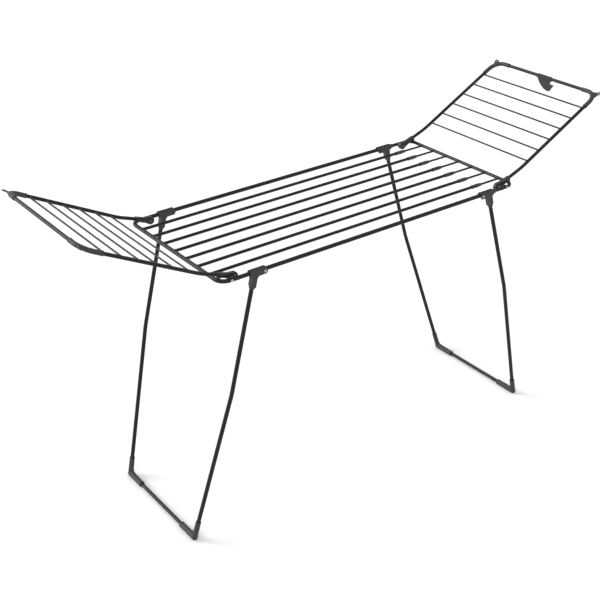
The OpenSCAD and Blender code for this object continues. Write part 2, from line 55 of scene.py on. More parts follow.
SHARP = math.radians(38)   # edges that bend more than this are shaded sharp
MERGE = 0.002 * MM         # points this close become one
CUT_EDGE = 0.01 * MM       # edge rounding of a shape that only cuts


# ---------- sizes: from the frame where it gives them, and else the same as in the CAD model ----------

def middle(node):
    """The middle of a node's box"""
    low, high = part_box(node)
    return (low + high) / 2


def radius_along(node, axis):
    """Half the size of a node's box along an axis"""
    low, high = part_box(node)
    return (high[axis] - low[axis]) / 2


joint_at = {j["name"]: Vector(j["pos_m"]) for j in frame["joints"] if "pos_m" in j}
TOP = joint_at["right_wing_fold"].z
HINGE_X = joint_at["right_wing_fold"].x
PIVOT_X = joint_at["right_leg_fold"].x
PIVOT_Z = joint_at["right_leg_fold"].z

RAIL_R = radius_along("outer_frame_tube", 2)
RAIL_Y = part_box("outer_frame_tube")[1].y - RAIL_R
RAIL_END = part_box("outer_frame_tube")[1].x
CROSS_X = -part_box("outer_frame_tube")[0].x - RAIL_R
SLIDE_R = radius_along("slide_frame_tube", 2)
CORNER_R = 33 * MM         # corner bends of both frame tubes

HANGERS = sorted(n for n in frame["nodes"] if n.startswith("hanging_tube_"))
TUBE_Y = [middle(n).y for n in HANGERS]
TUBE_R = radius_along(HANGERS[0], 2)
TUBE_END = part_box(HANGERS[0])[1].x
ROD_R = radius_along("slide_rods", 2)

WING_R = radius_along("right_wing_end_bar", 0)
WING_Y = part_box("right_wing_tube_back")[1].y - WING_R
BAR = middle("right_wing_end_bar")
STUB_SLOPE = math.radians(20)      # a wing tube's rise next to its hinge
WING_SLOPE = math.radians(27.74)   # and beyond its bend
WING_ROD_R = 3 * MM
WING_RODS = 6
WING_PITCH = 58.8 * MM
WING_GAP = 78.3 * MM               # from the end bar to the first rod

LEG_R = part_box("right_leg_tube_back")[1].y - RAIL_Y
LEG_X = PIVOT_X + 31.5 * MM        # where a leg's axis crosses the rail's
FOOT_X = middle("right_foot_bar").x
FOOT_Z = middle("right_foot_bar").z
FOOT_BAR_R = 6.5 * MM
FOOT_R = 10.5 * MM                 # a foot elbow's sleeve along the floor
FOOT_L = 95 * MM                   # its length, with its round end
FOOT_GRIP = 40 * MM                # a leg's depth in it; the bar goes in by FOOT_R less
FOOT_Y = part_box("right_foot_bar")[1].y + FOOT_L - FOOT_GRIP
KINK_Z = 543 * MM
SPLAY = math.atan2(FOOT_X - LEG_X, TOP - FOOT_Z)

RIVET_R = 2.5 * MM
RIVET_HEAD = 4.5 * MM
PLAY = 0.05 * MM                   # of a running fit, on the radius
GAP = 0.3 * MM                     # between pieces that move past each other


# ---------- shapes: each is a list of points and a list of faces ----------

def loft(rings, closed=False):
    """Skins rings that have the same number of points; both ends are capped, or joined when closed"""
    count = len(rings[0])
    points = [p for ring in rings for p in ring]
    faces = []
    for i in range(len(rings) if closed else len(rings) - 1):
        a, b = i * count, (i + 1) % len(rings) * count
        faces += [(a + j, a + (j + 1) % count, b + (j + 1) % count, b + j) for j in range(count)]
    if not closed:
        faces.append(tuple(range(count)))
        faces.append(tuple(range(len(points) - count, len(points))))
    return points, faces


def arc(x, y, r, start, end, steps):
    """Points on an arc, its angles in degrees"""
    angles = [math.radians(start + (end - start) * k / steps) for k in range(steps + 1)]
    return [(x + r * math.cos(a), y + r * math.sin(a)) for a in angles]


def inset(outline, depth):
    """An anticlockwise outline moved inward, mitred at its corners"""
    inner = []
    for i, point in enumerate(outline):
        here = Vector(point)
        before = (here - Vector(outline[i - 1])).normalized().orthogonal()
        after = (Vector(outline[(i + 1) % len(outline)]) - here).normalized().orthogonal()
        inner.append(here + (before + after) * depth / max(1 + before.dot(after), 0.4))
    return inner


def prism(outline, low, high, edge):
    """A slab with this outline in X-Y, from low to high in Z, with rounded edges"""
    rings = []
    for side, level in ((-1, low + edge), (1, high - edge)):
        for k in range(ROUND + 1):
            turn = math.pi / 2 * (ROUND - k if side < 0 else k) / ROUND
            flat = inset(outline, edge * (1 - math.cos(turn)))
            rings.append([(x, y, level + side * edge * math.sin(turn)) for x, y in flat])
    return loft(rings)


def lathe(profile, hollow=False):
    """Turns (distance, radius) points round the X axis"""
    return loft([[(x, r * math.cos(t), r * math.sin(t)) for t in TURNS] for x, r in profile], hollow)


def sweep(path, radii, up):
    """A round bar along a path that stays square to up, with a radius at each point"""
    rings = []
    for i, here in enumerate(path):
        along = (path[min(i + 1, len(path) - 1)] - path[max(i - 1, 0)]).normalized()
        side = up.cross(along).normalized()
        rings.append([here + radii[i] * (math.cos(t) * side + math.sin(t) * up) for t in TURNS])
    return loft(rings)


def rounded_box(width, depth, corner, steps=4):
    """Anticlockwise outline of a rectangle with round corners, centred on the origin"""
    outline = []
    for k, (x, y) in enumerate(((1, 1), (-1, 1), (-1, -1), (1, -1))):
        centre = (x * (width / 2 - corner), y * (depth / 2 - corner))
        outline += arc(*centre, corner, 90 * k, 90 * k + 90, steps)
    return outline


def moved(shape, place):
    """A shape placed by a matrix"""
    points, faces = shape
    return [place @ Vector(p) for p in points], faces


def axes(x, y, z, at=(0, 0, 0)):
    """The matrix that sends the local axes to x, y and z, and the origin to at"""
    return Matrix.Translation(at) @ Matrix((x, y, z)).transposed().to_4x4()


ALONG_Y = axes((0, 1, 0), (0, 0, 1), (1, 0, 0))   # turned shapes lie along Y; outlines in Y-Z, thick along X
FACING_Y = axes((1, 0, 0), (0, 0, 1), (0, 1, 0))  # outlines in X-Z, thick along Y
UPRIGHT = axes((0, 0, 1), (0, 1, 0), (-1, 0, 0))  # turned shapes stand along Z


def at_end(end, side):
    """Mirrors a shape made at the back right corner to another end and side"""
    return Matrix.Diagonal((end, side, 1, 1))


CORNERS = [(end_name, side_name, at_end(end, side))
           for end_name, end in ENDS.items() for side_name, side in SIDES.items()]


# ---------- objects ----------

def mesh_of(shape):
    """A mesh from a shape's points and faces"""
    points, faces = shape
    mesh = bpy.data.meshes.new("shape")
    work = bmesh.new()
    corners = [work.verts.new(p) for p in points]
    for face in faces:
        work.faces.new([corners[i] for i in face])
    bmesh.ops.recalc_face_normals(work, faces=work.faces)
    work.to_mesh(mesh)
    work.free()
    return mesh


def solid(shape):
    """An object in the scene, for modifiers to work on"""
    thing = bpy.data.objects.new("shape", mesh_of(shape))
    bpy.context.scene.collection.objects.link(thing)
    return thing


def carve(keep, others, operation):
    """Joins other shapes to an object, or cuts them from it, as one closed skin"""
    for shape in others:
        tool = solid(shape)
        step = keep.modifiers.new("step", "BOOLEAN")
        step.operation = operation
        step.solver = "EXACT"
        step.object = tool
        bpy.context.view_layer.update()
        carved = keep.evaluated_get(bpy.context.evaluated_depsgraph_get())
        result = bpy.data.meshes.new_from_object(carved)
        keep.modifiers.clear()
        keep.data = result
        bpy.data.objects.remove(tool)


def moulding(shapes, cuts=()):
    """One closed mesh from shapes that overlap, less the cuts"""
    whole = solid(shapes[0])
    carve(whole, shapes[1:], "UNION")
    carve(whole, cuts, "DIFFERENCE")
    mesh = whole.data
    bpy.data.objects.remove(whole)
    return mesh


def piece(name, meshes, body, material, slot, *nodes):
    """A shown piece from (mesh, matrix) pairs, that rides on a body and stands for CAD nodes"""
    work = bmesh.new()
    for mesh, place in meshes:
        part = mesh.copy()
        part.transform(place)
        if place.determinant() < 0:
            part.flip_normals()
        work.from_mesh(part)
        bpy.data.meshes.remove(part)
    bmesh.ops.remove_doubles(work, verts=work.verts, dist=MERGE)
    bmesh.ops.dissolve_degenerate(work, edges=work.edges, dist=MERGE)
    shown = bpy.data.meshes.new(name)
    work.to_mesh(shown)
    work.free()
    thing = bpy.data.objects.new(name, shown)
    bpy.context.scene.collection.objects.link(thing)
    shown.shade_smooth()
    shown.set_sharp_from_angle(angle=SHARP)
    shading = thing.modifiers.new("shading", "WEIGHTED_NORMAL")
    shading.keep_sharp = True
    shown.materials.append(material)
    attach(thing, body)
    if nodes:
        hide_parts(*nodes)


# ---------- materials ----------

class Surface:
    """A principled material with helpers for its noise"""

    def __init__(self, name, colour, roughness, metallic=0.0, specular=0.5):
        self.material = bpy.data.materials.new(name)
        self.material.use_nodes = True
        self.nodes = self.material.node_tree.nodes
        self.links = self.material.node_tree.links
        self.shader = self.nodes["Principled BSDF"]
        self.shader.inputs["Base Color"].default_value = (*colour, 1)
        self.shader.inputs["Roughness"].default_value = roughness
        self.shader.inputs["Metallic"].default_value = metallic
        self.shader.inputs["Specular IOR Level"].default_value = specular
        self.place = self.nodes.new("ShaderNodeTexCoord").outputs["Object"]

    def noise(self, size, detail=3.0, stretch=(1, 1, 1)):
        """Noise whose features are about size metres across"""
        mapping = self.nodes.new("ShaderNodeMapping")
        mapping.inputs["Scale"].default_value = stretch
        self.links.new(self.place, mapping.inputs["Vector"])
        noise = self.nodes.new("ShaderNodeTexNoise")
        noise.inputs["Scale"].default_value = 1 / size
        noise.inputs["Detail"].default_value = detail
        self.links.new(mapping.outputs["Vector"], noise.inputs["Vector"])
        return noise.outputs["Fac"]

    def spread(self, value, low, high, start=0.3, end=0.7):
        """Maps a value from start..end to low..high"""
        span = self.nodes.new("ShaderNodeMapRange")
        span.inputs["From Min"].default_value = start
        span.inputs["From Max"].default_value = end
        span.inputs["To Min"].default_value = low
        span.inputs["To Max"].default_value = high
        self.links.new(value, span.inputs["Value"])
        return span.outputs["Result"]

    def mix(self, factor, first, second):
        """Blends two colours, each an RGB value or a socket"""
        blend = self.nodes.new("ShaderNodeMix")
        blend.data_type = "RGBA"
        self.links.new(factor, blend.inputs[0])
        for socket, colour in ((blend.inputs[6], first), (blend.inputs[7], second)):
            if isinstance(colour, tuple):
                socket.default_value = (*colour, 1)
            else:
                self.links.new(colour, socket)
        return blend.outputs[2]

    def use(self, socket, value):
        """Drives one of the shader's sockets"""
        self.links.new(value, self.shader.inputs[socket])

    def bump(self, *layers):
        """Stacks (height, strength, depth in metres) layers of bump"""
        normal = None
        for height, strength, depth in layers:
            bump = self.nodes.new("ShaderNodeBump")
            bump.inputs["Strength"].default_value = strength
            bump.inputs["Distance"].default_value = depth
            self.links.new(height, bump.inputs["Height"])
            if normal:
                self.links.new(normal, bump.inputs["Normal"])
            normal = bump.outputs["Normal"]
        self.use("Normal", normal)


def painted(name, dark, light, roughness, scratches=None):
    """Satin powder paint: faint orange peel and mottled gloss; scratches, if any, gives their stretch"""
    skin = Surface(name, dark, roughness, specular=0.2)
    tone = skin.noise(60 * MM, 4)
    colour = skin.mix(skin.spread(tone, 0, 1), dark, light)
    peel = skin.noise(1.6 * MM, 2)
    gloss = skin.spread(skin.noise(9 * MM, 4), roughness - 0.06, roughness + 0.08)
    layers = [(peel, 0.25, 0.05 * MM)]
    if scratches:
        wear_and_highlight = (0.11, 0.113, 0.116)
        lines = skin.noise(1.2 * MM, 3, scratches)
        marks = skin.spread(lines, 0, 1, 0.6, 0.72)
        colour = skin.mix(marks, colour, wear_and_highlight)
        layers.append((lines, 0.2, 0.04 * MM))
    skin.use("Base Color", colour)
    skin.use("Roughness", gloss)
    skin.bump(*layers)
    return skin.material


def moulded(name, dark, light, edge_highlight_and_wear, roughness):
    """Matte moulded plastic: spark-eroded grain, slight flow mottling, and paler edges that are partly rubbed wear
    and partly a painted highlight
    """
    skin = Surface(name, dark, roughness, specular=0.28)
    flow = skin.spread(skin.noise(14 * MM, 4), 0, 1)
    colour = skin.mix(flow, dark, light)
    # paler colour along the rounded edges that a bevel finds: partly rubbed wear, partly a painted highlight on
    # those edges
    geometry = skin.nodes.new("ShaderNodeNewGeometry")
    rounded = skin.nodes.new("ShaderNodeBevel")
    rounded.samples = 6
    rounded.inputs["Radius"].default_value = 0.7 * MM
    turned = skin.nodes.new("ShaderNodeVectorMath")
    turned.operation = "DOT_PRODUCT"
    skin.links.new(rounded.outputs["Normal"], turned.inputs[0])
    skin.links.new(geometry.outputs["Normal"], turned.inputs[1])
    edge = skin.spread(turned.outputs["Value"], 1, 0, 0.9, 0.99)
    patchy = skin.spread(skin.noise(5 * MM, 3), 0.1, 0.8)
    wear_and_highlight = skin.nodes.new("ShaderNodeMath")
    wear_and_highlight.operation = "MULTIPLY"
    skin.links.new(edge, wear_and_highlight.inputs[0])
    skin.links.new(patchy, wear_and_highlight.inputs[1])
    skin.use("Base Color", skin.mix(wear_and_highlight.outputs[0], colour, edge_highlight_and_wear))
    skin.use("Roughness", skin.spread(skin.noise(7 * MM, 3), roughness - 0.07, roughness + 0.07))
    skin.bump((skin.noise(0.55 * MM, 2), 0.35, 0.06 * MM), (skin.noise(6 * MM, 2), 0.15, 0.2 * MM))
    return skin.material


def zinc(name, dark, bright, roughness):
    """Zinc-plated steel with fine tumbling marks"""
    skin = Surface(name, dark, roughness, metallic=1.0)
    spots = skin.spread(skin.noise(2 * MM, 4), 0, 1)
    skin.use("Base Color", skin.mix(spots, dark, bright))
    skin.use("Roughness", skin.spread(skin.noise(1.1 * MM, 3), roughness - 0.1, roughness + 0.12))
    skin.bump((skin.noise(0.4 * MM, 2), 0.3, 0.03 * MM))
    return skin.material


def nylon(name):
    """Waxy natural nylon"""
    skin = Surface(name, (0.74, 0.73, 0.69), 0.45)
    clouds = skin.spread(skin.noise(4 * MM, 3), 0, 1)
    skin.use("Base Color", skin.mix(clouds, (0.7, 0.69, 0.64), (0.78, 0.77, 0.73)))
    skin.use("Roughness", skin.spread(skin.noise(3 * MM, 2), 0.38, 0.52))
    skin.bump((skin.noise(0.8 * MM, 2), 0.2, 0.05 * MM))
    return skin.material


ROD_BLACK = ((0.0055, 0.006, 0.0062), (0.0085, 0.009, 0.0093))
ALONG_X = (0.02, 1, 1)   # stretches noise fifty times along the sliding tubes
TUBE_PAINT = painted("tube_paint", (0.006, 0.0066, 0.0068), (0.009, 0.0097, 0.01), 0.4)
ROD_PAINT = painted("rod_paint", *ROD_BLACK, 0.33)
SLIDING_PAINT = painted("sliding_paint", *ROD_BLACK, 0.32, ALONG_X)
# the third colour is for the paler edges: partly rubbed wear, partly a painted highlight
PLASTIC = moulded("grey_plastic", (0.024, 0.026, 0.027), (0.034, 0.036, 0.037),
                  (0.09, 0.092, 0.094), 0.55)
# a darker copy of the grey plastic for the knuckles: the darkening is painted shade, for the shadow on their arms
SHADED_PLASTIC = moulded("shaded_plastic", (0.012, 0.013, 0.0135), (0.018, 0.019, 0.0195),
                        (0.06, 0.062, 0.064), 0.45)
STEEL = zinc("zinc_steel", (0.5, 0.51, 0.52), (0.72, 0.72, 0.71), 0.3)
DULL_STEEL = zinc("dull_steel", (0.06, 0.062, 0.064), (0.1, 0.102, 0.104), 0.45)
HIDDEN_NYLON = nylon("natural_nylon")

FINISH = {"painted_tube": TUBE_PAINT, "painted_rods": ROD_PAINT, "grey_plastic": PLASTIC,
          "bare_steel": STEEL, "white_nylon": HIDDEN_NYLON}
for part in frame["record"]["subparts"]:
    slides = part["node"] in ("slide_frame_tube", "slide_rods")
    node = frame["nodes"][part["node"]]
    node.data.materials.clear()
    node.data.materials.append(SLIDING_PAINT if slides else FINISH[part["material_slot"]])


# ---------- guides ----------

COLLAR_GRIP = 22 * MM      # a guide collar's length over the hanging tube
RAIL_COLLAR_L = 12 * MM    # half of it over the rail


def guide_collar():
    """Stepped collar: a lip, a grip over the tube, a neck, and a cone down to the rod"""
    length, grip, r = 42 * MM, COLLAR_GRIP, 7 * MM
    bore = ROD_R + PLAY
    nose = (r + bore) / 2
    return mesh_of(lathe([
        (0, r - 0.5 * MM), (0.4 * MM, r), (3.2 * MM, r), (3.8 * MM, r - 0.5 * MM),
        (grip - 1.5 * MM, r - 0.5 * MM), (grip - 0.9 * MM, r), (grip + 4 * MM, r),
        (grip + 4.8 * MM, r - 0.4 * MM), (length - 14 * MM, r - 0.4 * MM), (length - 13 * MM, r - 0.6 * MM),
        (length - 0.8 * MM, nose), (length - 0.2 * MM, nose - 0.3 * MM), (length, nose - 0.8 * MM),
        (length, bore), (grip, bore), (grip, TUBE_R), (0, TUBE_R),
    ], hollow=True))


collar = guide_collar()
piece("guide_collar_mouldings",
      [(collar, Matrix.Translation((TUBE_END - COLLAR_GRIP, y, TOP))) for y in TUBE_Y],
      "frame", PLASTIC, "grey_plastic", "guide_collars")


def rail_collar():
    """Ring over a rail's end, its far half bored for the sliding tube"""
    length, r = RAIL_COLLAR_L, RAIL_R + 1.4 * MM
    bore = SLIDE_R + PLAY
    return mesh_of(lathe([
        (0, r - 0.4 * MM), (0.4 * MM, r), (length * 0.6, r), (length * 0.66, r - 0.3 * MM),
        (length - 0.7 * MM, r - 1 * MM), (length, r - 1.6 * MM), (length, bore), (length / 2, bore),
        (length / 2, RAIL_R), (0, RAIL_R),
    ], hollow=True))


end_collar = rail_collar()
for name, side in SIDES.items():
    place = at_end(1, side) @ Matrix.Translation((RAIL_END - RAIL_COLLAR_L / 2, RAIL_Y, TOP))
    piece(f"rail_collar_moulding_{name}", [(end_collar, place)],
          "frame", PLASTIC, "grey_plastic", f"rail_collar_{name}")


# ---------- leg brackets ----------

SADDLE_L = 60 * MM
SADDLE_HALF = RAIL_R + 1.4 * MM
SADDLE_TOP = RAIL_R + 1.8 * MM
SADDLE_LOW = -RAIL_R - 0.8 * MM
SADDLE_X = PIVOT_X - SADDLE_L / 8
MOUTH = 0.76               # half the saddle's mouth, as a share of the rail's radius
CHEEK_IN = SADDLE_HALF + GAP
CHEEK_T = 2.2 * MM
CHEEK_OUT = CHEEK_IN + CHEEK_T
BRIDGE_Z = SADDLE_LOW - GAP


def saddle():
    """Clip over the rail, its back ribbed along the rail; drawn round the rail's axis"""
    rib_w, rib_h, ribs = 2.3 * MM, 2.2 * MM, 4
    pitch = SADDLE_HALF / 2
    base = SADDLE_TOP - 1.3 * MM
    outline = [(SADDLE_HALF, SADDLE_LOW), (SADDLE_HALF, base - 0.6 * MM), (SADDLE_HALF - 0.6 * MM, base)]
    for k in range(ribs):
        centre = (ribs / 2 - 0.5 - k) * pitch
        outline += [(centre + rib_w / 2, base), (centre + rib_w / 3, base + rib_h),
                    (centre - rib_w / 3, base + rib_h), (centre - rib_w / 2, base)]
    outline += [(-SADDLE_HALF + 0.6 * MM, base), (-SADDLE_HALF, base - 0.6 * MM), (-SADDLE_HALF, SADDLE_LOW)]
    edge = math.degrees(math.acos(MOUTH)) + 1
    outline += arc(0, 0, RAIL_R, 180 + edge, -edge, 18)
    return mesh_of(moved(prism(outline, 0, SADDLE_L, 0.35 * MM), ALONG_Y))


saddle_mesh = saddle()


def bracket():
    """Forked leg bracket at the back right corner, with its heights from the rail's axis"""
    lean = math.tan(SPLAY)
    half = 10.5 * MM       # of the socket's width
    lobe = 10.5 * MM       # radius of the cheeks round the pivot
    pivot = (PIVOT_X, PIVOT_Z - TOP)
    outer = SADDLE_X + SADDLE_L - 1.5 * MM
    top = SADDLE_TOP - 1 * MM
    low = BRIDGE_Z - 10 * MM
    shoulder = LEG_X + half + 1.5 * MM
    neck_in, neck_out = LEG_X - half - low * lean, LEG_X + half - low * lean
    cheek = [
        *arc(outer - 3 * MM, top - 3 * MM, 3 * MM, 0, 90, 4),
        (pivot[0], top),
        *arc(*pivot, lobe, 90, 292, 16),
        (neck_in - 3 * MM, low + 5 * MM), (neck_in, low), (neck_out, low),
        (shoulder, BRIDGE_Z - 1 * MM), (outer - 0.8 * MM, BRIDGE_Z), (outer, BRIDGE_Z + 0.8 * MM),
    ]
    shapes = [moved(prism(cheek, start, start + CHEEK_T, 0.5 * MM), FACING_Y)
              for start in (-CHEEK_OUT, CHEEK_IN)]
    bridge = [
        (LEG_X - half + 1 * MM, BRIDGE_Z), (neck_in + 0.6 * MM, low), (neck_out - 0.6 * MM, low),
        (shoulder - 0.6 * MM, BRIDGE_Z - 1 * MM), (shoulder - 0.6 * MM, BRIDGE_Z),
    ]
    shapes.append(moved(prism(bridge, -CHEEK_OUT + 0.6 * MM, CHEEK_OUT - 0.6 * MM, 0.4 * MM), FACING_Y))
    # socket: a sleeve that narrows down the leg, with three raised bands that end at different heights
    start, depth = 13 * MM, 2 * LEG_R + 4.2 * MM
    narrowing = ((start, 0), (30 * MM, 0.3 * MM), (52 * MM, 1.2 * MM),
                 (53.5 * MM, 1.5 * MM), (54 * MM, 2.2 * MM))
    rings = []
    for s, slim in narrowing:
        section = rounded_box(2 * (half - slim) - 1.6 * MM, depth - slim * 0.5, 6 * MM, 6)
        rings.append([(s, y, -x) for x, y in section])
    down = axes((math.sin(SPLAY), 0, -math.cos(SPLAY)), (0, 1, 0),
                (math.cos(SPLAY), 0, math.sin(SPLAY)), (LEG_X, 0, 0))
    shapes.append(moved(loft(rings), down))
    bands = ((7.6 * MM, 4.2 * MM, 0.4 * MM, 45 * MM), (0, 5.4 * MM, 0.8 * MM, 52.5 * MM),
             (-7.6 * MM, 4.2 * MM, 0.4 * MM, 49 * MM))
    for z, width, proud, end in bands:
        band = rounded_box(width, depth + proud, 1 * MM, 3)
        bar = loft([[(s, y, z + x) for x, y in inset(band, trim)]
                    for s, trim in ((start + 0.2 * MM, 0), (end - 0.8 * MM, 0), (end, 0.5 * MM))])
        shapes.append(moved(bar, down))
    hole = lathe([(-20 * MM, RIVET_R + PLAY), (20 * MM, RIVET_R + PLAY)])
    left, right, above = PIVOT_X - 40 * MM, outer + 20 * MM, top + 20 * MM
    fork = prism([(left, BRIDGE_Z), (right, BRIDGE_Z), (right, above), (left, above)],
                 -CHEEK_IN, CHEEK_IN, CUT_EDGE)
    cuts = [
        moved(lathe([(14 * MM, LEG_R), (70 * MM, LEG_R)]), down),
        moved(hole, Matrix.Translation((pivot[0], 0, pivot[1])) @ ALONG_Y),
        moved(fork, FACING_Y),
    ]
    return moulding(shapes, cuts)


bracket_mesh = bracket()
for end_name, side_name, place in CORNERS:
    piece(f"{end_name}_saddle_moulding_{side_name}",
          [(saddle_mesh, place @ Matrix.Translation((SADDLE_X, RAIL_Y, TOP)))],
          "frame", PLASTIC, "grey_plastic", f"saddle_{end_name}_{side_name}")
    piece(f"{end_name}_bracket_moulding_{side_name}",
          [(bracket_mesh, place @ Matrix.Translation((0, RAIL_Y, TOP)))],
          f"{end_name}_leg", PLASTIC, "grey_plastic", f"{end_name}_leg_bracket_{side_name}")


# ---------- rivets ----------

def rivet(length, head, hollow):
    """Rivet along X from 0, its head at the far end; a hollow one has a rolled ring for a head"""
    if hollow:
        end = [(0, head - 0.5 * MM), (0.5 * MM, head), (1.2 * MM, head - 0.2 * MM), (1.6 * MM, head - 1 * MM),
               (1.5 * MM, head - 1.8 * MM), (0.9 * MM, head - 2.4 * MM), (-3 * MM, head - 2.7 * MM),
               (-3.2 * MM, 0.2 * MM)]
    else:
        end = [(0, head), (0.5 * MM, head), (1.1 * MM, head * 0.8), (1.5 * MM, head * 0.5),
               (1.7 * MM, head * 0.1)]
    return mesh_of(lathe([(0, RIVET_R), (length, RIVET_R), *((length + s, r) for s, r in end)]))


def facing(y, side):
    """Lays a rivet along Y from y, pointing outward or inward"""
    return Matrix.Translation((0, y, 0)) @ axes((0, side, 0), (0, 0, 1), (side, 0, 0))


RIVET_TAIL = 0.6 * MM      # of a leg rivet, in the rail's wall
leg_rivet = rivet(CHEEK_OUT + GAP - RAIL_R + RIVET_TAIL, RIVET_HEAD, True)
AT_PIVOT = Matrix.Translation((PIVOT_X, RAIL_Y, PIVOT_Z))
for name, way, material in (("outer", 1, STEEL), ("inner", -1, DULL_STEEL)):
    laid = AT_PIVOT @ facing(way * (RAIL_R - RIVET_TAIL), way)
    piece(f"leg_rivets_{name}", [(leg_rivet, place @ laid) for end_name, side_name, place in CORNERS],
          "frame", material, "bare_steel", "leg_pivot_rivets")

KNUCKLE_W = 14 * MM
RIVET_PITCH = 22 * MM
KNUCKLE_IN = WING_Y - KNUCKLE_W / 2
KNUCKLE_OUT = WING_Y + KNUCKLE_W / 2
HINGE_TUBE = {"left": ("frame", RAIL_R), "right": ("slide_frame", SLIDE_R)}   # body and radius
for end_name, end in ENDS.items():
    body, tube_r = HINGE_TUBE[end_name]
    face = RAIL_Y + tube_r
    pin = rivet(face - WING_Y, RIVET_HEAD, True)
    tail = rivet(WING_Y - KNUCKLE_IN + GAP, RIVET_HEAD + 0.5 * MM, False)
    short = rivet(face - KNUCKLE_OUT - GAP, RIVET_HEAD, True)
    pins, shorts = [], []
    for side in SIDES.values():
        place = at_end(end, side)
        at_pin = place @ Matrix.Translation((HINGE_X, 0, TOP))
        pins += [(pin, at_pin @ facing(WING_Y, 1)), (tail, at_pin @ facing(WING_Y, -1))]
        at_short = place @ Matrix.Translation((HINGE_X + RIVET_PITCH, 0, TOP))
        shorts.append((short, at_short @ facing(KNUCKLE_OUT + GAP, 1)))
    piece(f"{end_name}_hinge_pins", pins, body, DULL_STEEL, "bare_steel", f"{end_name}_hinge_rivets")
    piece(f"{end_name}_short_rivets", shorts, body, STEEL, "bare_steel", f"{end_name}_hinge_rivets")


# ---------- hinge knuckles and bosses ----------

STUB_IN = 24 * MM          # from the hinge pin to the end of the wing tube
KNUCKLE_L = 58 * MM
EYE_R = 13.5 * MM
HINGE_BACK = CROSS_X - HINGE_X
ON_STUB = axes((math.cos(STUB_SLOPE), 0, math.sin(STUB_SLOPE)),
               (-math.sin(STUB_SLOPE), 0, math.cos(STUB_SLOPE)), (0, -1, 0), (HINGE_X, WING_Y, TOP))


def corner_tube(r):
    """The corner of a frame tube at the back right, thickened to radius r"""
    centre = (CROSS_X - CORNER_R, RAIL_Y - CORNER_R)
    bend = arc(*centre, CORNER_R, 90, 0, 12)
    path = [(HINGE_X - 30 * MM, RAIL_Y), *bend, (CROSS_X, centre[1] - 60 * MM)]
    return sweep([Vector((x, y, TOP)) for x, y in path], [r] * len(path), Vector((0, 0, 1)))


def knuckle(tube_r):
    """Eye on the hinge pin, an arm round the wing tube, and a foot that rests on the crossbar"""
    tip = WING_R + 1.4 * MM
    # the foot ends inside the crossbar's round, which is then cut from it
    foot_x = HINGE_BACK * math.cos(STUB_SLOPE)
    foot = HINGE_BACK * math.sin(STUB_SLOPE) - 0.85 * tube_r
    outline = [
        (KNUCKLE_L, -tip + 0.8 * MM), (KNUCKLE_L, tip - 0.8 * MM), (KNUCKLE_L - 6 * MM, tip - 0.2 * MM),
        (0.5 * foot_x, tip), *arc(0, 0, EYE_R, 76, 270, 18), (0.5 * foot_x, -tip - 0.6 * MM),
        (foot_x - 9 * MM, -tip - 0.6 * MM), (foot_x - 6 * MM, -tip - 2.2 * MM),
        (foot_x - 4 * MM, -foot), (foot_x + 1 * MM, -foot),
    ]
    half = KNUCKLE_W / 2
    shapes = [
        prism(outline, -half + 0.8 * MM, half - 0.8 * MM, 0.9 * MM),
        moved(lathe([(-half, EYE_R - 1.1 * MM), (-half + 0.7 * MM, EYE_R), (half - 0.7 * MM, EYE_R),
                     (half, EYE_R - 1.1 * MM)]), UPRIGHT),
        lathe([(STUB_IN - 6 * MM, WING_R / 2), (STUB_IN - 4 * MM, WING_R), (STUB_IN, tip - 0.2 * MM),
               (KNUCKLE_L - 3 * MM, tip - 0.2 * MM), (KNUCKLE_L, WING_R + 0.5 * MM)]),
    ]
    cuts = [moved(lathe([(-30 * MM, RIVET_R + PLAY), (30 * MM, RIVET_R + PLAY)]), UPRIGHT),
            lathe([(STUB_IN, WING_R), (KNUCKLE_L + 20 * MM, WING_R)])]
    floor, above, ring_in, ring_out = half - 0.5 * MM, half + 1 * MM, 7 * MM, 10.8 * MM
    dish = lathe([(floor, ring_in), (floor, ring_out), (above, ring_out + 0.6 * MM), (above, ring_in)],
                 hollow=True)
    for turn in (0, math.pi):
        cuts.append(moved(dish, Matrix.Rotation(turn, 4, "X") @ UPRIGHT))
    shapes = [moved(shape, ON_STUB) for shape in shapes]
    cuts = [moved(shape, ON_STUB) for shape in cuts]
    return moulding(shapes, [*cuts, corner_tube(tube_r + GAP)])


def boss(tube_r):
    """Two-lobed spacer between knuckle and frame tube, stepped towards the tube"""
    big, small = EYE_R - 4 * MM, EYE_R / 2
    inner, outer = KNUCKLE_OUT + GAP, RAIL_Y - tube_r / 3
    lobes = [*arc(HINGE_X, 0, big, 40, 320, 20), *arc(HINGE_X + RIVET_PITCH, 0, small, -90, 90, 14)]
    step = inner + 3 * MM
    slim = inset(lobes, 0.8 * MM)
    at_top = Matrix.Translation((0, 0, TOP)) @ FACING_Y
    shapes = [moved(prism(lobes, inner, step, 0.5 * MM), at_top),
              moved(prism(slim, step - 1 * MM, outer, 0.3 * MM), at_top)]
    hole = lathe([(-60 * MM, RIVET_R), (60 * MM, RIVET_R)])
    cuts = [moved(hole, Matrix.Translation((x, RAIL_Y, TOP)) @ ALONG_Y)
            for x in (HINGE_X, HINGE_X + RIVET_PITCH)]
    return moulding(shapes, [*cuts, corner_tube(tube_r)])


for end_name, end in ENDS.items():
    body, tube_r = HINGE_TUBE[end_name]
    knuckle_mesh, boss_mesh = knuckle(tube_r), boss(tube_r)
    for side_name, side in SIDES.items():
        place = at_end(end, side)
        # the knuckles get the darker copy of the grey plastic, its darkening painted shade
        piece(f"{end_name}_knuckle_moulding_{side_name}", [(knuckle_mesh, place)], f"{end_name}_wing",
              SHADED_PLASTIC, "grey_plastic", f"{end_name}_wing_knuckle_{side_name}")
        piece(f"{end_name}_boss_moulding_{side_name}", [(boss_mesh, place)], body,
              PLASTIC, "grey_plastic", f"{end_name}_hinge_boss_{side_name}")


# ---------- wing elbows ----------

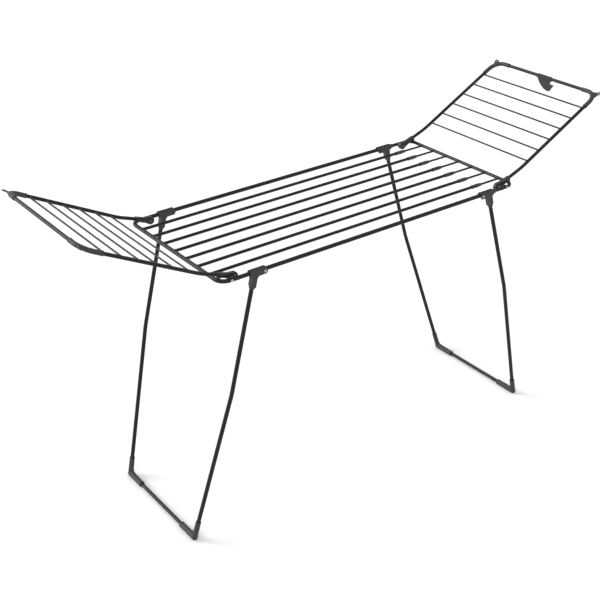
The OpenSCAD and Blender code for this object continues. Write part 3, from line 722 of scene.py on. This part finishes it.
IN_WING = axes((math.cos(WING_SLOPE), 0, math.sin(WING_SLOPE)), (0, 1, 0),
               (-math.sin(WING_SLOPE), 0, math.cos(WING_SLOPE)), (BAR.x, 0, BAR.z))


def wing_elbow():
    """Curved corner with a lip at each end, and a hanger loop on a web outside it"""
    bend, reach, grip = 45 * MM, 70 * MM, 20 * MM   # grip is how far each tube goes in
    thick = WING_R + 2.2 * MM
    lip = [(0, -0.5 * MM), (0.5 * MM, 0), (3.5 * MM, 0), (4.1 * MM, -0.5 * MM)]
    straight = [(-reach + s, WING_Y, thick + d) for s, d in lip]
    turn = [(x, y, thick - 0.5 * MM) for x, y in arc(-bend, WING_Y - bend, bend, 90, 0, 20)]
    last = [(0, WING_Y - reach + s, thick + d) for s, d in lip[::-1]]
    path = straight + turn + last
    skin = sweep([Vector((x, y, 0)) for x, y, r in path], [r for x, y, r in path], Vector((0, 0, 1)))
    hole_r, rim = 4.2 * MM, 3.6 * MM
    flat, out = 4 * MM, 3 * MM                       # the loop's thickness, and how far out it stands
    ring_r = hole_r + rim
    centre = (out, WING_Y + out)
    web_l = bend * (math.sqrt(2) - 1)
    web = [(0, -0.8 * ring_r), (0, 0.8 * ring_r), (-0.7 * web_l, 0.7 * web_l),
           (-web_l, web_l), (-web_l, -web_l), (-0.7 * web_l, -0.7 * web_l)]
    diagonal = Matrix.Translation((*centre, 0)) @ Matrix.Rotation(math.radians(45), 4, "Z")
    shapes = [skin, prism(arc(*centre, ring_r, 0, 348.75, 31), -flat / 2, flat / 2, 1.2 * MM),
              moved(prism(web, -flat / 2 + 0.5 * MM, flat / 2 - 0.5 * MM, 0.6 * MM), diagonal)]
    tube = lathe([(-5 * MM, WING_R), (grip, WING_R)])
    eye = lathe([(-9 * MM, hole_r), (9 * MM, hole_r)])
    cuts = [moved(tube, Matrix.Translation((-reach, WING_Y, 0))),
            moved(tube, Matrix.Translation((0, WING_Y - reach, 0)) @ ALONG_Y),
            moved(eye, Matrix.Translation((*centre, 0)) @ UPRIGHT)]
    return moulding([moved(shape, IN_WING) for shape in shapes], [moved(shape, IN_WING) for shape in cuts])


elbow_mesh = wing_elbow()
for end_name, side_name, place in CORNERS:
    piece(f"{end_name}_elbow_moulding_{side_name}", [(elbow_mesh, place)], f"{end_name}_wing",
          PLASTIC, "grey_plastic", f"{end_name}_wing_elbow_{side_name}")


# ---------- transport clip ----------

def lock_clip():
    """Snap saddle round the end bar, with a pocketed fin whose front edge is a hook"""
    length, middle_y, fin, thick = 70 * MM, 3 * MM, 49 * MM, 4 * MM
    front, back = middle_y - length / 2, middle_y + length / 2
    outer, bore = WING_R + 2 * MM, WING_R + PLAY
    opening, half_open = 125, 59                     # middle and half of the snap opening, in degrees
    first, last = opening + half_open, opening + 360 - half_open
    shell = [*arc(0, 0, outer, first, last, 26), *arc(0, 0, bore, last, first, 26)]
    saddle_shape = moved(prism(shell, front, back, 0.4 * MM), FACING_Y)
    hook_z, hook_r = 15.5 * MM, TUBE_R + GAP
    outline = [
        (back - 2 * MM, -WING_R - 0.5 * MM), (front + 6 * MM, -WING_R - 0.5 * MM),
        (front - 6 * MM, -hook_z + 5.2 * MM), (front - 10 * MM, -hook_z + 4 * MM),
        (front - 14 * MM, -hook_z - 5.5 * MM), (front - 13.2 * MM, -hook_z - 7.5 * MM),
        (front - 5 * MM, -fin * 0.68), (front + 2 * MM, -fin * 0.9), (front + 6 * MM, -fin * 0.97),
        (front + 12 * MM, -fin), (front + 24 * MM, -fin * 0.965), (front + 34 * MM, -fin * 0.89),
        (front + 46 * MM, -fin * 0.73), (front + 57 * MM, -fin * 0.52), (front + 64 * MM, -fin * 0.3),
    ]
    plate = moved(prism(outline, -thick / 2, thick / 2, 0.7 * MM), ALONG_Y)
    mouth = [(front - 20 * MM, -hook_z - hook_r), *arc(front, -hook_z, hook_r, -90, 90, 12),
             (front - 20 * MM, -hook_z + hook_r)]
    pocket = [(front + 14 * MM, -14 * MM), (front + 10 * MM, -24 * MM), (front + 2 * MM, -fin * 0.7),
              (front + 9 * MM, -fin * 0.9), (front + 24 * MM, -fin * 0.87), (front + 44 * MM, -fin * 0.66),
              (front + 58 * MM, -fin * 0.36), (front + 60 * MM, -12 * MM), (front + 40 * MM, -11 * MM)]
    deep, above = 0.7 * MM, 1 * MM
    cuts = [moved(prism(mouth, -thick, thick, CUT_EDGE), ALONG_Y)]
    for start in (-thick / 2 - above, thick / 2 - deep):
        cuts.append(moved(prism(pocket, start, start + deep + above, CUT_EDGE), ALONG_Y))
    return moulding([saddle_shape, plate], cuts)


piece("lock_clip_moulding", [(lock_clip(), Matrix.Translation(BAR))],
      "lock_clip", PLASTIC, "grey_plastic", "lock_clip")


# ---------- foot elbows ----------

def foot_elbow():
    """L-shaped foot: lipped sleeves along the floor and up the leg, with a web between them"""
    across, up_leg = FOOT_L - FOOT_R, 62 * MM
    low_r, up_r = FOOT_R, LEG_R + 2.5 * MM
    corner = Vector((FOOT_X, FOOT_Y, FOOT_Z))
    leg = (Vector((FOOT_X - (KINK_Z - FOOT_Z) * math.tan(SPLAY), RAIL_Y, KINK_Z)) - corner).normalized()
    inward = Vector((0, -1, 0))
    normal = inward.cross(leg).normalized()
    floor_place = axes(inward, normal.cross(inward), normal, corner)
    leg_place = axes(leg, normal.cross(leg), normal, corner)
    sleeve = lathe([(-low_r * 0.98, 1 * MM), (-low_r * 0.86, low_r * 0.5), (-low_r * 0.5, low_r * 0.86),
                    (0, low_r), (across - 4.6 * MM, low_r - 0.5 * MM), (across - 4 * MM, low_r),
                    (across - 0.5 * MM, low_r), (across, low_r - 0.5 * MM)])
    up = lathe([(-3 * MM, up_r), (up_leg - 4.6 * MM, up_r - 0.4 * MM), (up_leg - 4 * MM, up_r),
                (up_leg - 0.5 * MM, up_r), (up_leg, up_r - 0.5 * MM)])
    # the web runs from the floor sleeve to a point a little over half way up the leg sleeve
    lean = leg.dot(floor_place.to_3x3() @ Vector((0, 1, 0)))
    web_x, web_y = up_leg * 0.55 * leg.dot(inward), up_leg * 0.55 * lean
    web = [(0, 0), (FOOT_L * 0.45, 0), (FOOT_L * 0.42, low_r * 0.8), (up_r + 6 * MM, up_r + 5 * MM),
           (web_x + 4 * MM, web_y), (web_x, web_y)]
    shapes = [moved(sleeve, floor_place), moved(up, leg_place),
              moved(prism(web, -4 * MM, 4 * MM, 1 * MM), floor_place)]
    aside, outside, inside, depth = 90 * MM, 60 * MM, -200 * MM, -60 * MM
    under = prism([(-aside, inside), (aside, inside), (aside, outside), (-aside, outside)],
                  depth, -FOOT_Z, CUT_EDGE)
    cuts = [
        moved(lathe([(up_leg - FOOT_GRIP, LEG_R), (up_leg + 20 * MM, LEG_R)]), leg_place),
        moved(lathe([(FOOT_L - FOOT_GRIP, FOOT_BAR_R), (FOOT_L + 20 * MM, FOOT_BAR_R)]), floor_place),
        moved(under, Matrix.Translation(corner)),
    ]
    return moulding(shapes, cuts)


foot_mesh = foot_elbow()
for end_name, side_name, place in CORNERS:
    piece(f"{end_name}_foot_moulding_{side_name}", [(foot_mesh, place)], f"{end_name}_leg",
          PLASTIC, "grey_plastic", f"{end_name}_foot_elbow_{side_name}")


# ---------- weld beads ----------

def bead(tube_r, bar_r):
    """A painted weld: a small swollen ring round the end of a tube where it meets a bar"""
    return mesh_of(lathe([
        (bar_r * 0.55, tube_r), (bar_r * 0.8, tube_r + 0.9 * MM), (bar_r + 0.5 * MM, tube_r + 0.7 * MM),
        (bar_r + 1.6 * MM, tube_r + 0.1 * MM), (bar_r + 1.7 * MM, tube_r - 0.2 * MM),
        (bar_r * 0.55, tube_r - 0.2 * MM),
    ], hollow=True))


TO_LEFT = Matrix.Diagonal((-1, 1, 1, 1))
INWARD = axes((0, -1, 0), (0, 0, 1), (-1, 0, 0))
tube_bead, rod_bead, wing_bead = bead(TUBE_R, RAIL_R), bead(ROD_R, SLIDE_R), bead(WING_ROD_R, WING_R)
piece("hanging_tube_welds", [(tube_bead, Matrix.Translation((-CROSS_X, y, TOP))) for y in TUBE_Y],
      "frame", TUBE_PAINT, "painted_tube")
piece("slide_rod_welds", [(rod_bead, Matrix.Translation((CROSS_X, y, TOP)) @ TO_LEFT) for y in TUBE_Y],
      "slide_frame", TUBE_PAINT, "painted_tube")
for end_name, end in ENDS.items():
    welds = []
    for k in range(WING_RODS):
        at_rod = IN_WING @ Matrix.Translation((-WING_GAP - k * WING_PITCH, WING_Y, 0)) @ INWARD
        welds += [(wing_bead, at_end(end, side) @ at_rod) for side in SIDES.values()]
    piece(f"{end_name}_wing_welds", welds, f"{end_name}_wing", TUBE_PAINT, "painted_tube")


# ---------- camera, light and floor ----------

def place_camera(scene):
    """The photograph's viewpoint; the shift is half a pixel of its 600"""
    camera_data = bpy.data.cameras.new("camera")
    camera_data.lens = 70.337
    camera_data.sensor_width = 36
    camera_data.shift_x, camera_data.shift_y = -0.5 / 600, 0.5 / 600
    camera = bpy.data.objects.new("camera", camera_data)
    scene.collection.objects.link(camera)
    yaw, pitch, roll = 0.60745, -0.49509, -0.02819
    forward = Vector((math.sin(yaw) * math.cos(pitch), math.cos(yaw) * math.cos(pitch), math.sin(pitch)))
    level = Vector((math.cos(yaw), -math.sin(yaw), 0))
    above = level.cross(forward)
    right = math.cos(roll) * level + math.sin(roll) * above
    up = math.cos(roll) * above - math.sin(roll) * level
    camera.matrix_world = axes(right, up, -forward, (-2.16836, -2.94383, 2.54039))
    scene.camera = camera


def place_lights(scene):
    """A white surround, a soft key from behind on the left, and a weak fill from the front"""
    world = bpy.data.worlds.new("studio")
    world.use_nodes = True
    world.node_tree.nodes["Background"].inputs["Color"].default_value = (1, 1, 1, 1)
    world.node_tree.nodes["Background"].inputs["Strength"].default_value = 1.02
    scene.world = world
    scene.view_settings.view_transform = "Standard"

    for name, spot, power, spread in (("key", (-0.6, 0.73, 0.4), 2.4, 28),
                                      ("fill", (-0.8, -1.0, 1.2), 0.35, 40)):
        light = bpy.data.lights.new(name, "SUN")
        light.energy = power
        light.angle = math.radians(spread)
        lamp = bpy.data.objects.new(name, light)
        lamp.rotation_euler = (-Vector(spot)).to_track_quat("-Z", "Y").to_euler()
        scene.collection.objects.link(lamp)


def place_floor(scene):
    """A plain pale floor, very slightly mottled"""
    reach = 30
    mesh = bpy.data.meshes.new("floor")
    corners = [(-reach, -reach, 0), (reach, -reach, 0), (reach, reach, 0), (-reach, reach, 0)]
    mesh.from_pydata(corners, [], [(0, 1, 2, 3)])
    floor = bpy.data.objects.new("floor", mesh)
    pale = Surface("floor_pale", (0.8, 0.8, 0.8), 0.9, specular=0.0)
    clouds = pale.spread(pale.noise(0.5, 2), 0, 1)
    pale.use("Base Color", pale.mix(clouds, (0.795, 0.795, 0.795), (0.805, 0.805, 0.805)))
    mesh.materials.append(pale.material)
    scene.collection.objects.link(floor)


place_camera(bpy.context.scene)
place_lights(bpy.context.scene)
place_floor(bpy.context.scene)
